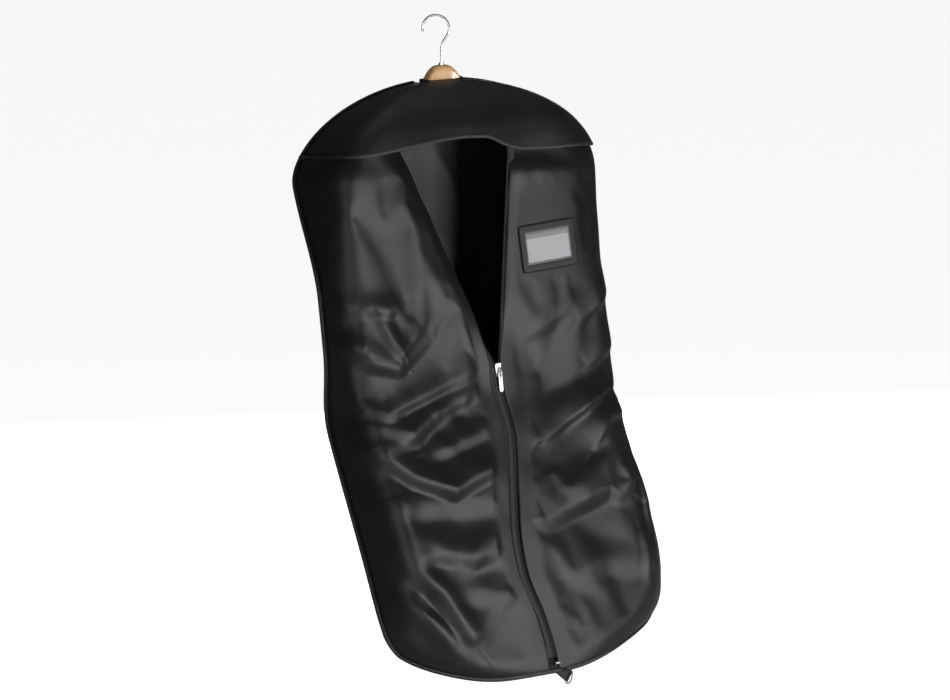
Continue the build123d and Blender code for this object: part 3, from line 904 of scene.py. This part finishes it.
# ---- slider and puller ----
def plate(name, outline_points, holes, thickness, bevel, frame_at, axes, material):
    """A flat plate with round-edged outline and holes, drawn in two axes about a point."""
    curve = bpy.data.curves.new(name, "CURVE")
    curve.dimensions = "2D"
    curve.fill_mode = "BOTH"
    curve.extrude = max(thickness / 2 - bevel, 0.00002)
    curve.bevel_depth = bevel
    curve.bevel_resolution = 3
    for loop in [outline_points] + holes:
        spline = curve.splines.new("POLY")
        spline.points.add(len(loop) - 1)
        spline.use_cyclic_u = True
        for point, (px, py) in zip(spline.points, loop):
            point.co = (px, py, 0, 1)
    helper = bpy.data.objects.new(name + "_curve", curve)
    bpy.context.collection.objects.link(helper)
    bpy.context.view_layer.update()
    mesh = bpy.data.meshes.new_from_object(helper.evaluated_get(bpy.context.evaluated_depsgraph_get()))
    bpy.data.objects.remove(helper)
    a, b = (np.asarray(v, float) / np.linalg.norm(v) for v in axes)
    c = np.cross(a, b)
    local = np.array([v.co for v in mesh.vertices], float)
    world = np.asarray(frame_at) + local[:, :1] * a + local[:, 1:2] * b + local[:, 2:3] * c
    mesh.vertices.foreach_set("co", world.ravel())
    obj = bpy.data.objects.new(name, mesh)
    bpy.context.collection.objects.link(obj)
    mesh.polygons.foreach_set("use_smooth", [True] * len(mesh.polygons))
    tidy_normals(obj)
    edges = obj.modifiers.new("edges", "WEIGHTED_NORMAL")
    edges.keep_sharp = False
    apply_all(obj)
    return paint(obj, material)


def stadium(radius, low, high, count=12):
    """Outline with round ends, from low to high."""
    return [(radius * math.cos(a), middle + radius * math.sin(a))
            for middle, start in ((high - radius, 0), (low + radius, math.pi))
            for a in np.linspace(start, start + math.pi, count)]


UP = place(0, 0.3, 0) - place(0, 0.301, 0)
UP /= np.linalg.norm(UP)
OUT = OUT_UP / np.linalg.norm(OUT_UP)
ACROSS = np.array([1.0, 0, 0])
REST = place(0, SLIDER_S, DEPTH - ZIP_DEPTH)
wedge = [(-0.0040, -0.0105), (0.0040, -0.0105), (0.0052, -0.0095), (0.0070, 0.0040), (0.0072, 0.0080),
         (0.0058, 0.0102), (0.0022, 0.0108), (0, 0.0100), (-0.0022, 0.0108), (-0.0058, 0.0102),
         (-0.0072, 0.0080), (-0.0070, 0.0040), (-0.0052, -0.0095)]
for label, height, thick in (("slider_cover", 0.0026, 0.0017), ("slider_base", -0.0028, 0.0013)):
    piece = plate(label, wedge, [], thick, 0.0005, REST + OUT * height, (ACROSS, UP), NICKEL)
    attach(piece, "slider")
    if label == "slider_cover":
        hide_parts("zip_slider")
arch = [REST + UP * (-0.003 + 0.0064 * math.cos(a)) + OUT * (0.0030 + 0.0052 * math.sin(a) ** 0.8)
        for a in np.linspace(0, math.pi, 17)]
bridge = sweep("slider_arch", arch, round_profile(0.0013, 0.0009, 10, 2.6), up=OUT)
refine(bridge)
paint(bridge, NICKEL)
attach(bridge, "slider")
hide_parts("slider_bridge")

eye = [(0.0021 * math.copysign(abs(math.cos(a)) ** 0.6, math.cos(a)),
        -0.0046 + 0.0040 * math.copysign(abs(math.sin(a)) ** 0.6, math.sin(a))) for a in
       np.linspace(0, 2 * math.pi, 20, endpoint=False)]
slot_hole = [(0.0012 * math.cos(a), -0.0290 + 0.0012 * math.sin(a)) for a in
             np.linspace(0, 2 * math.pi, 14, endpoint=False)]
pull_axis = REST + UP * -0.003 + OUT * 0.0052
puller = plate("zip_puller", stadium(0.0036, -0.0335, 0.0012), [eye, slot_hole], 0.0016, 0.0005, pull_axis,
               (ACROSS, UP), NICKEL)
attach(puller, "pull")
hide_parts("pull_tab")


# ---- card window ----
def in_window(x, s):
    """Turns (x, s) a little about the middle of the card window, which is sewn on at a slight tilt."""
    dx, ds = x - WINDOW_X, s - WINDOW_S
    return (WINDOW_X + dx * math.cos(WINDOW_TURN) + ds * math.sin(WINDOW_TURN),
            WINDOW_S - dx * math.sin(WINDOW_TURN) + ds * math.cos(WINDOW_TURN))


def on_front(name, x0, x1, s0, s1, lift, thickness, material, hole=None, bow=0.0, step=0.0035):
    """A patch of sheet that follows the front, lifted off it, with a rectangular hole."""
    xs = np.linspace(x0, x1, max(6, int((x1 - x0) / step)))
    ss = np.linspace(s0, s1, max(6, int((s1 - s0) / step)))
    if hole:
        xs = np.unique(np.concatenate([xs, hole[:2]]))
        ss = np.unique(np.concatenate([ss, hole[2:]]))
    x, s = np.meshgrid(xs, ss)
    middle = np.sin(np.pi * (x - x0) / (x1 - x0)) * np.sin(np.pi * (s - s0) / (s1 - s0))
    turned_x, turned_s = in_window(x, s)
    n = front_n(turned_x, turned_s) + lift + bow * middle
    faces = []
    for i in range(len(ss) - 1):
        for j in range(len(xs) - 1):
            cx, cs = (xs[j] + xs[j + 1]) / 2, (ss[i] + ss[i + 1]) / 2
            if hole and hole[0] < cx < hole[1] and hole[2] < cs < hole[3]:
                continue
            k = i * len(xs) + j
            faces.append((k, k + len(xs), k + len(xs) + 1, k + 1)[::-1])
    uv = np.stack([x, s], -1).reshape(-1, 2)
    obj = make_object(name, place(turned_x, turned_s, n).reshape(-1, 3), faces, uv)
    facing = sum((p.normal * p.area for p in obj.data.polygons), Vector()).dot(Vector(OUT_UP))
    if facing < 0:
        obj.data.flip_normals()
    loose = bmesh.new()
    loose.from_mesh(obj.data)
    bmesh.ops.delete(loose, geom=[v for v in loose.verts if not v.link_faces], context="VERTS")
    loose.to_mesh(obj.data)
    loose.free()
    thicken(obj, thickness)
    paint(obj, material)
    return obj


wx0, wx1 = WINDOW_X - WINDOW_W / 2, WINDOW_X + WINDOW_W / 2
ws0, ws1 = WINDOW_S - WINDOW_H / 2, WINDOW_S + WINDOW_H / 2
frame_piece = on_front("card_frame", wx0 - BORDER, wx1 + BORDER, ws0 - BORDER, ws1 + BORDER, 0.0038, 0.0014,
                       BOUND, (wx0, wx1, ws0, ws1))
bevel = frame_piece.modifiers.new("edge", "BEVEL")
bevel.width, bevel.segments, bevel.limit_method = 0.0006, 2, "ANGLE"
apply_all(frame_piece)
film = on_front("card_film", wx0 - 0.002, wx1 + 0.002, ws0 - 0.002, ws1 + 0.002, 0.0026, 0.0003,
                FILM, bow=0.0010)
card = on_front("name_card", wx0 + 0.003, wx1 - 0.003, ws0 + 0.003, ws1 - 0.004, 0.0017, 0.0005, CARD)
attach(card, "card")
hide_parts("id_card")
for obj in (frame_piece, film):
    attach(obj, "bag")
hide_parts("id_window_frame")
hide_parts("id_window_film")


# ---- stitching ----
def stitches(name, path, length=0.0028, gap=0.0012, radius=0.00028, material=None):
    """A sewn line: short thread bumps that lie on the cloth."""
    lengths = passed(path)
    ring = [(math.cos(a), math.sin(a)) for a in np.linspace(0, 2 * math.pi, 6, endpoint=False)]
    verts, faces = [], []
    for start in np.arange(gap, lengths[-1] - length, length + gap):
        base = len(verts)
        for t in (0, 0.25, 0.5, 0.75, 1):
            d = start + length * t
            behind, centre, beyond = (np.array([np.interp(at, lengths, path[:, k]) for k in range(3)])
                                      for at in (d - 1e-3, d, d + 1e-3))
            ahead = beyond - behind
            ahead /= np.linalg.norm(ahead)
            side = np.cross(ahead, OUT_UP)
            side /= np.linalg.norm(side)
            up = np.cross(side, ahead)
            size = radius * (0.35 + 0.65 * math.sin(math.pi * t))
            lift = radius * 0.9 * math.sin(math.pi * t)
            verts += [centre + side * c * size + up * (q * size + lift) for c, q in ring]
        faces += tube_faces(base, 5)
    obj = make_object(name, verts, faces)
    tidy_normals(obj)
    return paint(obj, material or THREAD)


margin = BORDER * 0.62
ring_x = [wx0 - margin, wx1 + margin, wx1 + margin, wx0 - margin, wx0 - margin]
ring_s = [ws0 - margin, ws0 - margin, ws1 + margin, ws1 + margin, ws0 - margin]
sew_x, sew_s = in_window(*(np.linspace(ring[:-1], ring[1:], 30, endpoint=False, axis=1).ravel()
                           for ring in (ring_x, ring_s)))
frame_sewing = stitches("card_frame_sewing", place(sew_x, sew_s, front_n(sew_x, sew_s) + 0.0038))
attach(frame_sewing, "bag")
# a thin near-black cord round the card frame's outer edge: painted shade, a dark line standing in for the
# shadow in the gap round the raised frame
turn = np.linspace(0, 2 * math.pi, 120, endpoint=False)
rim_x, rim_s = in_window(
    WINDOW_X + (WINDOW_W / 2 + BORDER) * np.sign(np.cos(turn)) * np.abs(np.cos(turn)) ** 0.14,
    WINDOW_S + (WINDOW_H / 2 + BORDER) * np.sign(np.sin(turn)) * np.abs(np.sin(turn)) ** 0.14)
shade_cord = sweep("card_frame_shade_cord", place(rim_x, rim_s, front_n(rim_x, rim_s) + 0.0034),
               round_profile(0.0011, 0.0011, 8), closed_path=True, up=OUT_UP)
paint(shade_cord, DARK_THREAD_AND_SHADE)
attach(shade_cord, "bag")

# a sewn line inside the flap's outline and one along its hem
down = np.linspace(0.012, 0.098, 60)
inside = half_width(down) * 0.957 - 0.002
along = np.linspace(-0.272, 0.272, 120)
for name, sew_x, sew_s in (("flap_sewing_left", -inside, down), ("flap_sewing_right", inside, down),
                           ("flap_hem_sewing", along, hem_s(along) - 0.005)):
    sewing = stitches(name, place(sew_x, sew_s, flap_height(sew_x, sew_s) + 0.0002),
                      length=0.0032, gap=0.0010, radius=0.0004)
    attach(sewing, "bag")

# two dark sewn lines down the exposed zip tape
for label, offset in (("outer", -CLOSED_LEFT - 0.0002), ("inner", -0.0118)):
    line_s = chain_s[4:-6]
    line_x = zip_x(line_s) + offset
    seam = stitches(f"zip_sewing_{label}", place(line_x, line_s, front_n(line_x, line_s) - 0.0018),
                    length=0.0034, gap=0.0008, radius=0.0007, material=DARK_THREAD_AND_SHADE)
    bend_at_fold(seam)


# ---- collar, tab and small metal ----
turn = np.linspace(0, 2 * math.pi, 64, endpoint=False)
collar_x, collar_n = 0.040 * np.cos(turn), 0.017 + 0.0170 * np.sin(turn)
collar_s = 0.0015 + 0.0030 * np.sin(turn) - 0.0015 * np.cos(2 * turn)
collar = sweep("collar_roll", place(collar_x, collar_s, collar_n), round_profile(0.0028, 0.0042, 12, 2.2),
               closed_path=True, up=UP)
refine(collar)
paint(collar, COLLAR)
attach(collar, "bag")
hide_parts("collar_guard")

NODE_MATERIALS = {"hook_wire": CHROME, "hook_ferrule": CHROME, "hanger_body": WOOD, "bottom_stop": NICKEL,
                  "webbing_tab": WEBBING, "d_ring": NICKEL}
for node, material in NODE_MATERIALS.items():
    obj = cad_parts[node]
    obj.data.materials.clear()
    obj.data.materials.append(material)


# ---- stage ----
AZIMUTH, ELEVATION = math.radians(-37), math.radians(10)
VIEW_DISTANCE, VIEW_WIDTH = 8.0, 1.5675
toward = Vector((math.sin(-AZIMUTH) * math.cos(ELEVATION), math.cos(-AZIMUTH) * math.cos(ELEVATION),
                 -math.sin(ELEVATION)))
right = Vector((toward.y, -toward.x, 0)).normalized()
above = right.cross(toward)
target = right * 0.065 - above * 0.551
camera_data = bpy.data.cameras.new("camera")
camera_data.sensor_width = 36
camera_data.lens = 36 * VIEW_DISTANCE / VIEW_WIDTH
camera = bpy.data.objects.new("camera", camera_data)
bpy.context.collection.objects.link(camera)
camera.location = target - toward * VIEW_DISTANCE
camera.rotation_euler = toward.to_track_quat("-Z", "Y").to_euler()
bpy.context.scene.camera = camera

FLOOR_GLOW, AMBIENT = 0.88, 0.06
floor_z = before[0][2] - 0.02
floor = make_object("floor", [(-30, -30, floor_z), (30, -30, floor_z), (30, 30, floor_z), (-30, 30, floor_z)],
                    [(0, 1, 2, 3)])
pale = Nodes("floor_paint")
speck = pale.noise(pale.coords("Object"), 40.0, 2.0)
pale.link(pale.ramp(speck, (0.80, 0.80, 0.80), (0.84, 0.84, 0.84)), "Base Color")
pale.set(Roughness=0.8, Emission_Color=(1, 1, 1, 1))
seen = pale.add("ShaderNodeLightPath").outputs["Is Camera Ray"]
pale.link(pale.maths("MULTIPLY", seen, FLOOR_GLOW), "Emission Strength")
paint(floor, pale.material)

# a white studio to look at, and a dim one to be lit by, so that the black cloth keeps its contrast
world = bpy.data.worlds.new("studio")
bpy.context.scene.world = world
world.use_nodes = True
tree = world.node_tree
background = tree.nodes["Background"]
background.inputs["Color"].default_value = (1, 1, 1, 1)
rays = tree.nodes.new("ShaderNodeLightPath")
dim = tree.nodes.new("ShaderNodeMath")
dim.operation = "MULTIPLY_ADD"
dim.inputs[1].default_value = 1 - AMBIENT
dim.inputs[2].default_value = AMBIENT
tree.links.new(rays.outputs["Is Camera Ray"], dim.inputs[0])
tree.links.new(dim.outputs[0], background.inputs["Strength"])
bpy.context.scene.view_settings.view_transform = "Standard"


def softbox(name, sideways, forward, height, size, power):
    """A soft light placed from the camera's point of view, aimed at the middle of the bag."""
    light = bpy.data.lights.new(name, "AREA")
    light.shape = "RECTANGLE"
    light.size, light.size_y = size
    light.energy = power
    obj = bpy.data.objects.new(name, light)
    bpy.context.collection.objects.link(obj)
    aim = Vector((STEM_X, -0.12, -0.6))
    ahead = Vector((toward.x, toward.y, 0)).normalized()
    obj.location = aim + right * sideways - ahead * forward + Vector((0, 0, height))
    obj.rotation_euler = (aim - obj.location).to_track_quat("-Z", "Y").to_euler()
    obj.visible_camera = False


softbox("key", 2.1, 1.4, -0.04, (1.2, 0.72), 46)
softbox("fill", -0.35, 2.4, 0.0, (1.4, 0.8), 14)
softbox("top", 0.2, -0.2, 2.4, (1.8, 1.4), 6)
softbox("back", -0.5, -2.3, 0.1, (2.0, 1.2), 30)
